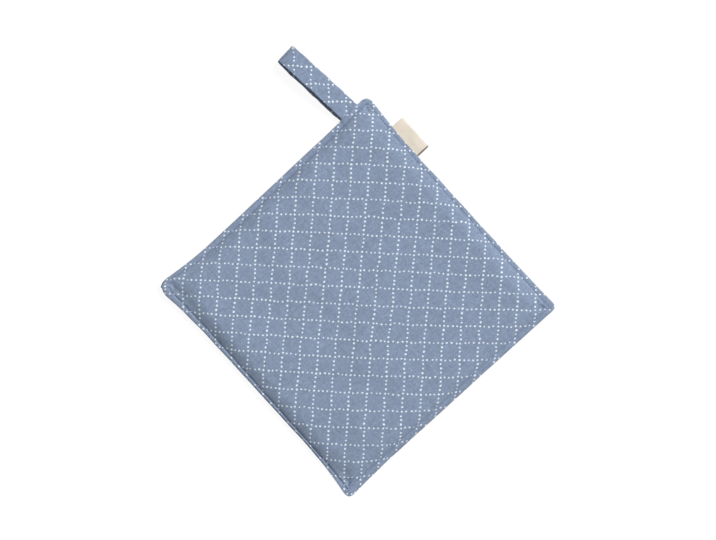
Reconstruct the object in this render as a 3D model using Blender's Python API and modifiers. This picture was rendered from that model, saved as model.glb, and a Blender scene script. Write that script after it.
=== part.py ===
"""Pot holder: a padded square of printed cotton, sewn, turned and topstitched round its edge.

A strap of the same cotton is folded into a hanging loop and sewn into the top seam near the right corner,
and a folded cotton tape is sewn into the right seam. The holder lies on its back on the XY plane, front up,
with its loop towards +Y. Blender works in metres; sizes below are real millimetres times MM.
"""

import math
from collections import namedtuple

import bmesh
import bpy

MM = 0.001

# Pad. The seam is where the front and back cloth meet, and the stitches run parallel to it.
HALF_SIDE = 100.0 * MM  # from the middle to a straight, even seam
CROWN_RISE = 0.5 * MM  # the filling's swell, from the end of the shoulder to the middle
CELL = 9.0 * MM  # spacing of the surface's points over the middle
FLARE_REACH = 55.0 * MM  # how far along a side its corner pulls it out
BLEND = 0.35 * MM  # rounding where two shoulders meet on a corner's diagonal

# reach: seam to the middle of the pad, halfway along. slope: how the seam leans along the side.
# flare_first, flare_last: how far the corners pull the seam out, at the side's -X or -Y end and at its
# other end. margin: seam to stitches.
Side = namedtuple("Side", "reach slope flare_first flare_last margin")
LEFT = Side(98.9 * MM, 0.0, 3.4 * MM, 3.0 * MM, 3.4 * MM)
RIGHT = Side(99.0 * MM, 0.0, 0.9 * MM, 2.4 * MM, 2.9 * MM)
BOTTOM = Side(100.6 * MM, 0.0, 1.3 * MM, 0.9 * MM, 4.2 * MM)
TOP = Side(100.6 * MM, 0.013, 3.9 * MM, 0.6 * MM, 4.5 * MM)

# radius: the turned corner's. lift: how far it stands off the table beyond the rest of the seam.
Corner = namedtuple("Corner", "radius lift")
CORNERS = {
    (-1, -1): Corner(4.2 * MM, 0.4 * MM),
    (-1, 1): Corner(9.5 * MM, 0.8 * MM),
    (1, -1): Corner(4.4 * MM, 0.3 * MM),
    (1, 1): Corner(5.0 * MM, 0.0 * MM),
}
LIFT_POWER = 6  # how closely a corner's lift keeps to it

# The pad's section, from the seam inwards. share: of the margin. beyond: past the stitches.
# front, back: heights of the two faces above the table.
Station = namedtuple("Station", "share beyond front back")
SECTION = (
    Station(0.00, 0.0 * MM, 3.55 * MM, 3.05 * MM),
    Station(0.20, 0.0 * MM, 4.55 * MM, 2.10 * MM),
    Station(0.55, 0.0 * MM, 4.95 * MM, 1.75 * MM),
    Station(0.85, 0.0 * MM, 4.80 * MM, 1.85 * MM),
    Station(1.00, 0.0 * MM, 4.40 * MM, 2.20 * MM),
    Station(1.00, 0.7 * MM, 4.95 * MM, 1.70 * MM),
    Station(1.00, 2.2 * MM, 6.05 * MM, 0.85 * MM),
    Station(1.00, 4.5 * MM, 7.20 * MM, 0.25 * MM),
    Station(1.00, 7.5 * MM, 7.95 * MM, 0.00 * MM),
    Station(1.00, 11.5 * MM, 8.30 * MM, 0.00 * MM),
)

# Hanging loop: a strap of four layers of cotton, pressed.
STRAP_WIDTH = 14.9 * MM
STRAP_THICKNESS = 1.6 * MM
STRAP_EDGE = 0.5 * MM  # rounding of its folded edges
STRAP_AT_X = 83.9 * MM  # middle of the strap on the top seam
STRAP_LEAN = math.radians(5.3)  # from +Y towards -X
STRAP_STRAIGHTENS = 24.0 * MM  # the slant of its sewn ends is gone this far out
SEWN_GAP = 0.3 * MM  # between the pad and what is sewn into its seam
STRAP_STEP = 2.2 * MM
STRAP_CELLS_ACROSS = 3

# The loop's middle line from its lower sewn end, round the fold, to its upper one. out: from the seam.
# height: above the table. drift: how far that stretch lies to the left of the upper layer.
Bend = namedtuple("Bend", "out height drift")
LOOP = (
    Bend(0.0 * MM, 2.35 * MM, 1.3 * MM),
    Bend(3.0 * MM, 2.25 * MM, 1.3 * MM),
    Bend(9.0 * MM, 1.40 * MM, 1.3 * MM),
    Bend(17.0 * MM, 0.90 * MM, 1.2 * MM),
    Bend(27.0 * MM, 0.82 * MM, 1.0 * MM),
    Bend(38.0 * MM, 0.82 * MM, 0.9 * MM),
    Bend(48.0 * MM, 0.86 * MM, 1.0 * MM),
    Bend(54.5 * MM, 1.15 * MM, 1.2 * MM),
    Bend(58.8 * MM, 2.30 * MM, 0.9 * MM),
    Bend(60.9 * MM, 4.60 * MM, 0.4 * MM),
    Bend(59.4 * MM, 7.00 * MM, 0.0 * MM),
    Bend(55.2 * MM, 8.30 * MM, 0.0 * MM),
    Bend(48.0 * MM, 8.60 * MM, 0.0 * MM),
    Bend(38.0 * MM, 8.35 * MM, 0.0 * MM),
    Bend(27.0 * MM, 7.55 * MM, 0.0 * MM),
    Bend(17.0 * MM, 6.30 * MM, 0.0 * MM),
    Bend(9.0 * MM, 5.05 * MM, 0.0 * MM),
    Bend(3.0 * MM, 4.35 * MM, 0.0 * MM),
    Bend(0.0 * MM, 4.30 * MM, 0.0 * MM),
)

# Side label: a woven tape folded in half, both ends in the right seam.
LABEL_WIDTH = 27.4 * MM  # along the seam
LABEL_AT_Y = 59.9 * MM
LABEL_THICKNESS = 1.0 * MM  # of each leaf
LABEL_STEP = 0.8 * MM
LABEL_CELLS_ACROSS = 4
LABEL_OUT = 110.0 * MM  # its fold, from the middle of the pad
LABEL = (
    Bend(0.0 * MM, 2.60 * MM, 0.0 * MM),
    Bend(4.0 * MM, 2.50 * MM, 0.0 * MM),
    Bend(8.6 * MM, 2.25 * MM, 0.0 * MM),
    Bend(9.7 * MM, 2.50 * MM, 0.0 * MM),
    Bend(10.2 * MM, 3.05 * MM, 0.0 * MM),
    Bend(9.7 * MM, 3.60 * MM, 0.0 * MM),
    Bend(8.6 * MM, 3.85 * MM, 0.0 * MM),
    Bend(4.0 * MM, 4.00 * MM, 0.0 * MM),
    Bend(0.0 * MM, 4.00 * MM, 0.0 * MM),
)

# What is sewn in spreads the seam: half its width, how far past it the seam closes, how far the two
# cloths part at the seam, and how much the faces swell over it.
Insert = namedtuple("Insert", "middle half_width taper parting swell")
STRAP_IN_TOP = Insert(STRAP_AT_X, STRAP_WIDTH / 2, 3.5 * MM, 1.45 * MM, 0.75 * MM)
LABEL_IN_RIGHT = Insert(LABEL_AT_Y, LABEL_WIDTH / 2, 2.5 * MM, 0.95 * MM, 0.35 * MM)
SWELL_FADES = 9.0 * MM  # past the stitches

COTTON = (0.27, 0.34, 0.47, 1.0)
TAPE = (0.84, 0.78, 0.68, 1.0)


def smooth_step(share):
    """0 to 1, level at both ends."""
    share = min(1.0, max(0.0, share))
    return share * share * (3 - 2 * share)


def seam_reach(side, along):
    """Distance of a side's seam from the middle of the pad, at a place along that side."""
    first = max(0.0, 1 - (HALF_SIDE + along) / FLARE_REACH) ** 2
    last = max(0.0, 1 - (HALF_SIDE - along) / FLARE_REACH) ** 2
    return side.reach + side.slope * along + side.flare_first * first + side.flare_last * last


def insets_of(side):
    """The section's stations on one side, as distances from its seam."""
    return [station.share * side.margin + station.beyond for station in SECTION]


def lines_between(first, last, needed):
    """Places of the surface's points between two shoulders: evenly spaced ones and the needed ones."""
    count = round((last - first) / CELL)
    even = [first + (last - first) * k / count for k in range(1, count)]
    kept = [place for place in even if all(abs(place - at) > CELL / 3 for at in needed)]
    return sorted(kept + [at for at in needed if first < at < last])


def grid_lines(low, high, needed):
    """One entry for each line of points across the pad: (low side's station, high side's station, place)."""
    steps = len(SECTION)
    first = insets_of(low)[-1] - HALF_SIDE
    last = HALF_SIDE - insets_of(high)[-1]
    lines = [(k, None, insets_of(low)[k] - HALF_SIDE) for k in range(steps)]
    lines += [(None, None, place) for place in lines_between(first, last, needed)]
    lines += [(None, k, HALF_SIDE - insets_of(high)[k]) for k in reversed(range(steps))]
    return lines


def edges_of(insert):
    """Where an insert starts, ends and lets the seam close again."""
    reach = insert.half_width
    return [
        insert.middle - reach - insert.taper,
        insert.middle - reach,
        insert.middle + reach,
        insert.middle + reach + insert.taper,
    ]


COLUMNS = grid_lines(LEFT, RIGHT, edges_of(STRAP_IN_TOP)[:2])
ROWS = grid_lines(BOTTOM, TOP, edges_of(LABEL_IN_RIGHT))


def along_axis(line, low, high, across):
    """Coordinate of a line of points where the other coordinate is across."""
    low_station, high_station, place = line
    low_seam = -seam_reach(low, across)
    high_seam = seam_reach(high, across)
    if low_station is not None:
        return low_seam + insets_of(low)[low_station]
    if high_station is not None:
        return high_seam - insets_of(high)[high_station]
    first = low_seam + insets_of(low)[-1]
    last = high_seam - insets_of(high)[-1]
    nominal_first = insets_of(low)[-1] - HALF_SIDE
    nominal_last = HALF_SIDE - insets_of(high)[-1]
    return first + (last - first) * (place - nominal_first) / (nominal_last - nominal_first)


def turn_corner(x, y):
    """Moves a point near a corner inwards, so that the seam there is an arc."""
    for (to_x, to_y), corner in CORNERS.items():
        seam_x = seam_reach(RIGHT if to_x > 0 else LEFT, y)
        seam_y = seam_reach(TOP if to_y > 0 else BOTTOM, x)
        out_x = to_x * x - (seam_x - corner.radius)
        out_y = to_y * y - (seam_y - corner.radius)
        if out_x > 0 and out_y > 0:
            shrink = max(out_x, out_y) / math.hypot(out_x, out_y)
            x -= to_x * out_x * (1 - shrink)
            y -= to_y * out_y * (1 - shrink)
    return x, y


def insert_share(insert, along, inset, margin):
    """1 over what is sewn in, falling to 0 beside it and further in than the stitches."""
    beside = abs(along - insert.middle) - insert.half_width
    inwards = inset - margin
    return smooth_step(1 - beside / insert.taper) * smooth_step(1 - inwards / SWELL_FADES)


def axis_heights(line):
    """Heights of the front and back that one direction's section gives."""
    low_station, high_station, _ = line
    station = high_station if low_station is None else low_station
    if station is None:
        return SECTION[-1].front, SECTION[-1].back
    return SECTION[station].front, SECTION[station].back


def soft_least(a, b):
    """The lesser of two heights, rounded where they meet."""
    return (a + b - math.sqrt((a - b) ** 2 + BLEND**2)) / 2 + BLEND / 2


def place_on_pad(column, row, is_front):
    """Where a point of the box goes on the pad."""
    column_line, row_line = COLUMNS[column], ROWS[row]
    x = along_axis(column_line, LEFT, RIGHT, row_line[2])
    y = along_axis(row_line, BOTTOM, TOP, column_line[2])
    x, y = turn_corner(x, y)
    front_x, back_x = axis_heights(column_line)
    front_y, back_y = axis_heights(row_line)
    dome = max(0.0, 1 - (x / HALF_SIDE) ** 2) * max(0.0, 1 - (y / HALF_SIDE) ** 2)
    corner = CORNERS[(1 if x > 0 else -1, 1 if y > 0 else -1)]
    lift = corner.lift * min(1.0, abs(x * y) / HALF_SIDE**2) ** LIFT_POWER
    over_strap = insert_share(STRAP_IN_TOP, x, seam_reach(TOP, x) - y, TOP.margin)
    over_label = insert_share(LABEL_IN_RIGHT, y, seam_reach(RIGHT, y) - x, RIGHT.margin)
    on_seam = column in (0, len(COLUMNS) - 1) or row in (0, len(ROWS) - 1)
    if on_seam:
        spread = over_strap * STRAP_IN_TOP.parting + over_label * LABEL_IN_RIGHT.parting
    else:
        spread = over_strap * STRAP_IN_TOP.swell + over_label * LABEL_IN_RIGHT.swell
    if is_front:
        crown = CROWN_RISE * dome if min(front_x, front_y) >= SECTION[-1].front else 0.0
        return x, y, soft_least(front_x, front_y) + crown + lift + spread
    back = max(back_x, back_y)
    if back > 0:
        back = max(0.0, back + lift - spread)
    return x, y, back


def new_object(name, bm, material):
    """A named object in the holder's collection, made from a bmesh."""
    mesh = bpy.data.meshes.new(name)
    bm.to_mesh(mesh)
    bm.free()
    mesh.materials.append(material)
    made = bpy.data.objects.new(name, mesh)
    bpy.data.collections["pot_holder"].objects.link(made)
    mesh.shade_smooth()
    mesh.set_sharp_from_angle(angle=math.radians(50))
    return made


def cut_along(bm, axis, pieces):
    """Cuts every edge that runs along an axis, and so the faces between them, into equal pieces."""
    edges = [e for e in bm.edges if abs(e.verts[0].co[axis] - e.verts[1].co[axis]) > 1.0]
    bmesh.ops.subdivide_edges(bm, edges=edges, cuts=pieces - 1, use_grid_fill=True)


def add_pad(material):
    """The two panels and what fills them, as one solid: a box cut into a grid and drawn to shape."""
    columns, rows = len(COLUMNS) - 1, len(ROWS) - 1
    bm = bmesh.new()
    bmesh.ops.create_cube(bm, size=2.0)
    cut_along(bm, 0, columns)
    cut_along(bm, 1, rows)
    for vertex in bm.verts:
        column = round((vertex.co.x + 1) / 2 * columns)
        row = round((vertex.co.y + 1) / 2 * rows)
        vertex.co = place_on_pad(column, row, vertex.co.z > 0)
    return new_object("padded_square", bm, material)


def through(bends, step):
    """Points about a step apart on a smooth curve through the bends, as a Catmull-Rom spline."""
    made = []
    for k in range(len(bends) - 1):
        before = bends[max(k - 1, 0)]
        start, end = bends[k], bends[k + 1]
        after = bends[min(k + 2, len(bends) - 1)]
        pieces = max(1, round(math.hypot(end.out - start.out, end.height - start.height) / step))
        for piece in range(pieces):
            t = piece / pieces
            weights = (
                -0.5 * t + t**2 - 0.5 * t**3,
                1 - 2.5 * t**2 + 1.5 * t**3,
                0.5 * t + 2 * t**2 - 1.5 * t**3,
                -0.5 * t**2 + 0.5 * t**3,
            )
            ends = (before, start, end, after)
            made.append(Bend(*(sum(w * e[i] for w, e in zip(weights, ends)) for i in range(3))))
    return made + [bends[-1]]


def add_folded_strip(name, bends, width, across, thickness, place, material):
    """A strip of cloth that follows its bends: a flat grid drawn to shape, with thickness by Solidify."""
    bm = bmesh.new()
    bmesh.ops.create_grid(bm, x_segments=len(bends) - 1, y_segments=across, size=1.0)
    for vertex in bm.verts:
        bend = bends[round((vertex.co.x + 1) / 2 * (len(bends) - 1))]
        vertex.co = place(bend, vertex.co.y * width / 2)
    bmesh.ops.recalc_face_normals(bm, faces=bm.faces)
    strip = new_object(name, bm, material)
    wall = strip.modifiers.new("thickness", "SOLIDIFY")
    wall.thickness = thickness
    wall.offset = 0.0
    wall.use_even_offset = True
    return strip


def place_on_strap(bend, sideways):
    """A point of the loop: out along its leaning middle line, with ends cut to the slant of the seam."""
    seam_y = seam_reach(TOP, STRAP_AT_X)
    rise = seam_reach(TOP, STRAP_AT_X + sideways - bend.drift) - seam_y
    slant = rise - (sideways - bend.drift) * math.sin(STRAP_LEAN)
    out = bend.out + slant * max(0.0, 1 - bend.out / STRAP_STRAIGHTENS)
    sideways -= bend.drift
    x = STRAP_AT_X + sideways * math.cos(STRAP_LEAN) - out * math.sin(STRAP_LEAN)
    y = seam_y + SEWN_GAP + sideways * math.sin(STRAP_LEAN) + out * math.cos(STRAP_LEAN)
    return x, y, bend.height


def place_on_label(bend, sideways):
    """A point of the side label, whose fold runs straight up while its ends follow the seam."""
    y = LABEL_AT_Y + sideways
    start = seam_reach(RIGHT, y) + SEWN_GAP
    length = max(fold.out for fold in LABEL)
    room = LABEL_OUT - LABEL_THICKNESS / 2 - start
    return start + bend.out * room / length, y, bend.height


def add_loop(material):
    """The strap, folded over and sewn into the top seam by both ends, with rounded edges."""
    bends = through(LOOP, STRAP_STEP)
    loop = add_folded_strip(
        "hanging_loop", bends, STRAP_WIDTH, STRAP_CELLS_ACROSS, STRAP_THICKNESS, place_on_strap, material
    )
    edge = loop.modifiers.new("folded_edge", "BEVEL")
    edge.width = STRAP_EDGE
    edge.segments = 2
    edge.limit_method = "ANGLE"
    edge.angle_limit = math.radians(60)
    return loop


def add_label(material):
    """The folded tape in the right seam, left plain."""
    bends = through(LABEL, LABEL_STEP)
    return add_folded_strip(
        "side_label", bends, LABEL_WIDTH, LABEL_CELLS_ACROSS, LABEL_THICKNESS, place_on_label, material
    )


def cloth(name, colour, roughness):
    """A plain woven cloth's finish."""
    material = bpy.data.materials.new(name)
    material.use_nodes = True
    shader = material.node_tree.nodes["Principled BSDF"]
    shader.inputs["Base Color"].default_value = colour
    shader.inputs["Roughness"].default_value = roughness
    shader.inputs["Metallic"].default_value = 0.0
    shader.inputs["Sheen Weight"].default_value = 0.3
    return material


def main():
    for existing in list(bpy.data.objects):
        bpy.data.objects.remove(existing)
    holder = bpy.data.collections.new("pot_holder")
    bpy.context.scene.collection.children.link(holder)
    printed_cotton = cloth("printed_cotton", COTTON, 0.9)
    cotton_tape = cloth("cotton_tape", TAPE, 0.85)
    add_pad(printed_cotton)
    add_loop(printed_cotton)
    add_label(cotton_tape)


main()
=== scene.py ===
"""Looks of a pot holder: a padded square of dotted blue cotton, with a hanging loop and a plain tape label.

It lies on its back, front up. Lengths are metres, written as millimetres times MM. The origin is the middle
of the flat back, +Y points to the edge that holds the loop, +X to the edge that holds the label, +Z out of
the front.
"""

import math
from collections import namedtuple

import bpy
import numpy as np
from mathutils import Matrix, Vector


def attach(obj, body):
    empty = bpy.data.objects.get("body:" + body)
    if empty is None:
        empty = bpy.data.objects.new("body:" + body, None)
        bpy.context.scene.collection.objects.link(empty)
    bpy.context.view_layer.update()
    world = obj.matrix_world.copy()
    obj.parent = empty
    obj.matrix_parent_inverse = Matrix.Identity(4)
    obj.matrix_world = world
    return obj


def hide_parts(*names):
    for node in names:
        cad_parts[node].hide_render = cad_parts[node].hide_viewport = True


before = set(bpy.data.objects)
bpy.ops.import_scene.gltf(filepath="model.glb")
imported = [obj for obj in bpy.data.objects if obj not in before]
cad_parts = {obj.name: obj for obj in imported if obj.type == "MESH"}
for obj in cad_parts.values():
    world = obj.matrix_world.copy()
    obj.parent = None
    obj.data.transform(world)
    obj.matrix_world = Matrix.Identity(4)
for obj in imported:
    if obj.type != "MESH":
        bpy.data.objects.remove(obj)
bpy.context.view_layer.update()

MM = 0.001
UP = np.array([0.0, 0.0, 1.0])

# The square. The seam is where the front and back cloth meet, and the stitches run parallel to it.
HALF_SIDE = 100.0 * MM
FLARE_REACH = 55.0 * MM  # how far along a side its corner pulls it out
WALL_WIDTH = 0.6 * MM  # the front's short steep rise beside the stitches
SIDES_BLEND = 7.0 * MM  # where two sides meet, one's rise turns into the other's over this
SHOULDER_RISE = 3.9 * MM  # further rise of the front over its shoulder
SHOULDER_REACH = 12.0 * MM
SHOULDER_POWER = 2.1
CROWN_RISE = 0.9 * MM  # swell of the filling from the end of the shoulder to the middle
BACK_SHOULDER = 1.9 * MM
CORNER_SLACK = 3.0 * MM  # how roundly two shoulders meet in a corner
SLACK_STARTS = 4.0 * MM  # past the stitches, over which this grows
DIP_WIDTH = 0.7 * MM  # of the groove where the stitches sink in
MIDDLE_LINES = 143  # lines of points between two shoulders
MIDDLE_SPACING = 2 * HALF_SIDE / 168  # of these lines, about
SHOULDER_LINES = 14
SHOULDER_WIDTH = 11.5 * MM
SHOULDER_CROWDS = 1.5  # power by which its lines crowd towards the stitches

# One side. Pairs are for its first and its last end. reach: seam to the middle, halfway along. slope: how
# the seam leans. flares: how far the corners pull the seam out. margin: seam to stitches, halfway along.
# drift: how the margin grows along the side. gains: how much wider it is at the ends. walls: height of the
# steep rise beside the stitches. widths: of the shoulder, as shares. dips: how much deeper the stitches sink
# in. droops: how much lower the seam hangs.
Side = namedtuple("Side", "reach slope flares margin drift gains walls widths dips droops")
LEFT = Side(
    98.95 * MM, 0.0, (4.5 * MM, 4.2 * MM), 2.45 * MM, 0.011, (2.8 * MM, 1.85 * MM),
    (0.52 * MM, 0.32 * MM), (0.94, 0.88), (0.35 * MM, 0.0), (0.0, 0.0),
)
RIGHT = Side(
    99.25 * MM, 0.0, (0.9 * MM, 3.2 * MM), 3.1 * MM, -0.002, (1.9 * MM, 0.8 * MM),
    (0.42 * MM, 0.24 * MM), (0.92, 0.95), (0.0, -0.12 * MM), (0.0, 0.0),
)
BOTTOM = Side(
    100.8 * MM, 0.0, (1.6 * MM, 0.3 * MM), 4.35 * MM, 0.0, (1.4 * MM, -1.2 * MM),
    (0.95 * MM, 0.38 * MM), (0.68, 1.6), (1.20 * MM, 0.10 * MM), (3.0 * MM, 0.0),
)
TOP = Side(
    100.75 * MM, 0.013, (4.2 * MM, 0.7 * MM), 3.95 * MM, 0.0, (-2.4 * MM, 0.0),
    (0.60 * MM, 0.66 * MM), (0.9, 1.0), (0.40 * MM, 0.45 * MM), (0.0, 0.0),
)

# lift: off the table. thin: how much wider the shoulders grow there. slack: how much more roundly they meet.
# sag: how much lower the edge lies, as a share. fall: how far all this reaches.
Corner = namedtuple("Corner", "radius lift thin slack sag fall")
CORNERS = {
    (-1, -1): Corner(5.6 * MM, 0.0, 0.4, 6.0 * MM, 0.72, 38.0 * MM),
    (-1, 1): Corner(11.0 * MM, 0.8 * MM, 0.8, 7.0 * MM, 0.0, 28.0 * MM),
    (1, -1): Corner(4.4 * MM, 0.3 * MM, 0.1, 5.0 * MM, 0.0, 40.0 * MM),
    (1, 1): Corner(6.8 * MM, 0.0, 0.4, 5.0 * MM, 0.0, 26.0 * MM),
}
LIFT_POWER = 6

# Rings of the edge, from the bottom of the seam to the stitches, one row each. share: of the margin. extra:
# further in. front, back: heights. parted: share of the parting over what is sewn in. sunk: share of its
# pocket's depth. pressed: share of the side's own dip at the stitches. Lengths here are millimetres.
Rings = namedtuple("Rings", "share extra front back parted sunk pressed")
RING_ROWS = np.array([
    (0.00, 0.50, 3.30, 3.30, 0.00, 1.00, 0.00),
    (0.00, 0.20, 3.48, 3.12, 1.00, 0.85, 0.00),
    (0.00, 0.04, 3.70, 2.88, 1.00, 0.12, 0.00),
    (0.00, 0.00, 3.92, 2.62, 0.90, 0.00, 0.00),
    (0.00, 0.10, 4.20, 2.36, 0.80, 0.00, 0.00),
    (0.00, 0.35, 4.48, 2.12, 0.70, 0.00, 0.00),
    (0.00, 0.75, 4.70, 1.92, 0.60, 0.00, 0.00),
    (0.35, 0.00, 4.79, 1.76, 0.52, 0.00, 0.00),
    (0.52, 0.00, 4.88, 1.70, 0.50, 0.00, 0.00),
    (0.70, 0.00, 4.94, 1.70, 0.48, 0.00, 0.00),
    (0.84, 0.00, 4.93, 1.74, 0.46, 0.00, 0.12),
    (0.93, 0.00, 4.82, 1.90, 0.45, 0.00, 0.50),
    (1.00, 0.00, 4.60, 2.15, 0.45, 0.00, 1.00),
])
EDGE = Rings(*(RING_ROWS * (1, MM, MM, MM, 1, 1, 1)).T)
EDGE_RINGS = len(RING_ROWS)
STITCHED = EDGE_RINGS - 1  # the ring that the stitches hold down
SHOULDER = SHOULDER_WIDTH * (np.arange(1, SHOULDER_LINES + 1) / SHOULDER_LINES) ** SHOULDER_CROWDS
STATIONS = EDGE_RINGS + SHOULDER_LINES
LINES = 2 * STATIONS + MIDDLE_LINES

# What is sewn in spreads the seam: half its width, how far past it the seam closes, how far each cloth moves
# away, and how deep the pocket is that it goes into.
Insert = namedtuple("Insert", "middle half_width taper parting pocket")
STRAP_WIDTH = 15.1 * MM
STRAP_AT_X = 84.6 * MM
LABEL_WIDTH = 27.4 * MM
LABEL_AT_Y = 60.4 * MM
STRAP_IN_TOP = Insert(STRAP_AT_X, STRAP_WIDTH / 2, 3.5 * MM, 1.60 * MM, 1.3 * MM)
LABEL_IN_RIGHT = Insert(LABEL_AT_Y, LABEL_WIDTH / 2, 2.5 * MM, 0.75 * MM, 1.0 * MM)
SWELL_FADES = 9.0 * MM  # past the stitches
INSERTS_FROM = 80.0 * MM  # from the middle: nothing is spread closer to it
INSERTS_BLEND = 10.0 * MM

# Unevenness: its size, its shortest and its longest wave, and its seed
Uneven = namedtuple("Uneven", "size shortest longest seed")
EDGE_WOBBLE = Uneven(0.06 * MM, 20 * MM, 90 * MM, 11)
EDGE_WAVES = Uneven(0.07 * MM, 5 * MM, 16 * MM, 41)
EDGE_WAVES_FROM = 3  # ring
EDGE_WAVES_GROW = 4  # rings
PUCKER_FRONT = Uneven(0.07 * MM, 5 * MM, 15 * MM, 21)
PUCKER_BACK = Uneven(0.10 * MM, 5 * MM, 15 * MM, 25)
PUCKER_PEAK = 2.4 * MM  # past the stitches
PUCKERED_ABOVE = 0.6 * MM  # height of the back over which its puckers grow
LIFTED_ABOVE = 0.5 * MM  # height of the back over which a corner's lift takes hold
FILLING_BROAD = Uneven(0.17 * MM, 26 * MM, 70 * MM, 5)
FILLING_FINE = Uneven(0.051 * MM, 9 * MM, 20 * MM, 6)
FILLING_STARTS = 4.0 * MM  # past the stitches, over which these grow

# Simulated creases
HELD_BELOW = 0.05 * MM  # height of the back that counts as lying on the table
SIMULATED_CLOTH = {
    "quality": 5,
    "mass": 0.02,
    "tension_stiffness": 12,
    "compression_stiffness": 12,
    "shear_stiffness": 4,
    "bending_stiffness": 2.0,
    "vertex_group_mass": "held",
    "use_pressure": True,
    "uniform_pressure_force": 0.5,
    "shrink_min": -0.006,
}
SIMULATED_FRAMES = 20
SIMULATED_SHARE = 0.22  # of the simulated creases, as the filling under the cloth is firm
SIMULATED_MOST = 0.35 * MM  # cap on how far they move a point
SIMULATED_BLUR = 9.0  # lines of the coarse grid: what is broader than this is left out
SIMULATED_FADES = 6.0 * MM  # past the stitches

# Hanging loop
STRAP_THICKNESS = 1.5 * MM
STRAP_LEAN = math.radians(5.3)
STRAP_STRAIGHTENS = 24.0 * MM
STRAP_ROLL = 0.085  # slope of its upper layer, down to the right
STRAP_ROLL_STARTS = 9.0 * MM
STRAP_STEP = 0.8 * MM
STRAP_TUCK = 0.7 * MM  # how far its ends reach into the seam
STRAP_TUCK_FADES = 3.0 * MM
STRAP_START = 0.3 * MM
STRAP_SLIT = 0.55 * MM  # depth of the slit between its folded edges
STRAP_PUFF = 0.10  # how much fuller its middle is than its edges, as a share
STRAP_QUILTING = Uneven(0.05, 5 * MM, 14 * MM, 51)  # of its thickness, as a share
STRAP_QUILTED_EDGES = 0.3  # what is left of it at the edges
STRAP_SWAYS = Uneven(0.10 * MM, 7 * MM, 40 * MM, 52)
STRAP_NARROWS = Uneven(0.006, 10 * MM, 45 * MM, 53)  # of its width, as a share
STRAP_PRINT_TURN = math.radians(2.75)
STRAP_PRINT_AT = (2.58 * MM, 10.9 * MM)  # a crossing of its lines, from the middle of its upper end
# One bend a row, in millimetres: out from the seam, height, drift to the left.
LOOP = MM * np.array([
    (0.0, 2.35, 1.7),
    (3.0, 2.25, 1.7),
    (9.0, 1.40, 1.7),
    (17.0, 0.90, 1.7),
    (27.0, 0.82, 1.5),
    (38.0, 0.82, 1.3),
    (48.0, 0.86, 1.2),
    (54.5, 1.15, 1.2),
    (59.4, 2.30, 0.9),
    (61.5, 4.60, 0.4),
    (60.0, 7.00, 0.0),
    (55.2, 8.30, 0.0),
    (48.0, 8.60, 0.0),
    (38.0, 8.35, 0.0),
    (27.0, 7.55, 0.0),
    (17.0, 6.30, 0.0),
    (9.0, 5.05, 0.0),
    (3.0, 4.35, 0.0),
    (0.0, 4.30, 0.0),
])

# Side label
LABEL_THICKNESS = 0.42 * MM
LABEL_OUT = 110.0 * MM
LABEL_STEP = 0.25 * MM
LABEL_TUCK = 0.6 * MM
LABEL_TUCK_FADES = 2.0 * MM
LABEL_CUT_Y = LABEL_AT_Y - LABEL_WIDTH / 2 + 0.25 * MM  # the sealed, darker cut edge starts here
CUT_RAGGED = 0.4 * MM
LABEL_START = 0.3 * MM
# One bend a row, in millimetres: out from the seam, height, drift to the right.
LABEL = MM * np.array([
    (0.0, 2.85, 0.9),
    (4.0, 2.68, 0.9),
    (8.4, 2.42, 0.8),
    (9.7, 2.55, 0.5),
    (10.3, 3.05, 0.3),
    (9.7, 3.52, 0.1),
    (8.4, 3.72, 0.0),
    (4.0, 3.86, 0.0),
    (0.0, 3.76, 0.0),
])
LABEL_FREE = 5.0 * MM  # past the seam, over which its waves grow
LABEL_WAVES = Uneven(0.10 * MM, 9 * MM, 30 * MM, 61)
LABEL_END_WAVES = Uneven(0.10 * MM, 8 * MM, 30 * MM, 62)
LABEL_CORNER_LIFT = 0.25 * MM
LABEL_CORNER_POWER = 6

# Stitches
STITCH_LENGTH = 2.25 * MM
STITCH_PITCH = 2.75 * MM
STITCH_RADIUS = 0.17 * MM
STITCH_END = 0.08  # radius of its very ends, as a share
STITCH_DIP = 0.22 * MM  # of its ends
STITCH_LIES = 0.10 * MM  # above the groove
STITCH_SLIP = 0.06  # its unevenness along the groove, as a share of the pitch
STITCH_STRAYS = 0.06 * MM  # and across it
TWIST_PITCH = 0.45 * MM

# Print: dots on two crossing sets of lines, hand drawn. On the front cloth they are nearly straight, and the
# square and cubic terms are its own stretch and skew. Each row is a power of x and of y, in half sides, and
# what it adds to the number of a bold and of a fine line.
FRONT_PRINT = (
    (0, 0, -0.056, 0.436),
    (1, 0, -5.411, 5.635),
    (0, 1, 5.956, 5.603),
    (2, 0, 0.013, 0.0),
    (1, 1, -0.024, 0.049),
    (0, 2, 0.062, -0.053),
    (3, 0, 0.006, 0.077),
    (2, 1, -0.026, -0.041),
    (1, 2, 0.028, -0.054),
    (0, 3, -0.188, 0.155),
)
LINE_PITCH = 12.53 * MM
DOTS_PER_CELL = 4
BOLD_DOT = 0.70 * MM
FINE_DOT = 0.622 * MM
LINE_BENDS = 2.4 * MM  # how far a line bends at most, as drawn by hand
LINES_APART = 7.3  # keeps the bends of neighbouring lines unlike
DOT_WANDER = 0.26 * MM
DOT_SIZES = (0.30, 0.85)  # spread and least, as shares
DOT_RIM = 0.09 * MM  # half the width over which a dot fades
DOT_RAGGED = 0.22 * MM  # unevenness of its outline
DOT_RAGGED_SCALE = 1500.0
BACK_PRINT_TURN = math.radians(1.2)
BACK_PRINT_AT = (3.1 * MM, 4.7 * MM)  # a crossing of its lines, from the middle
BACK_APART = 0.31  # metres from the front's cloth to the back's, so that their threads differ

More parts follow.
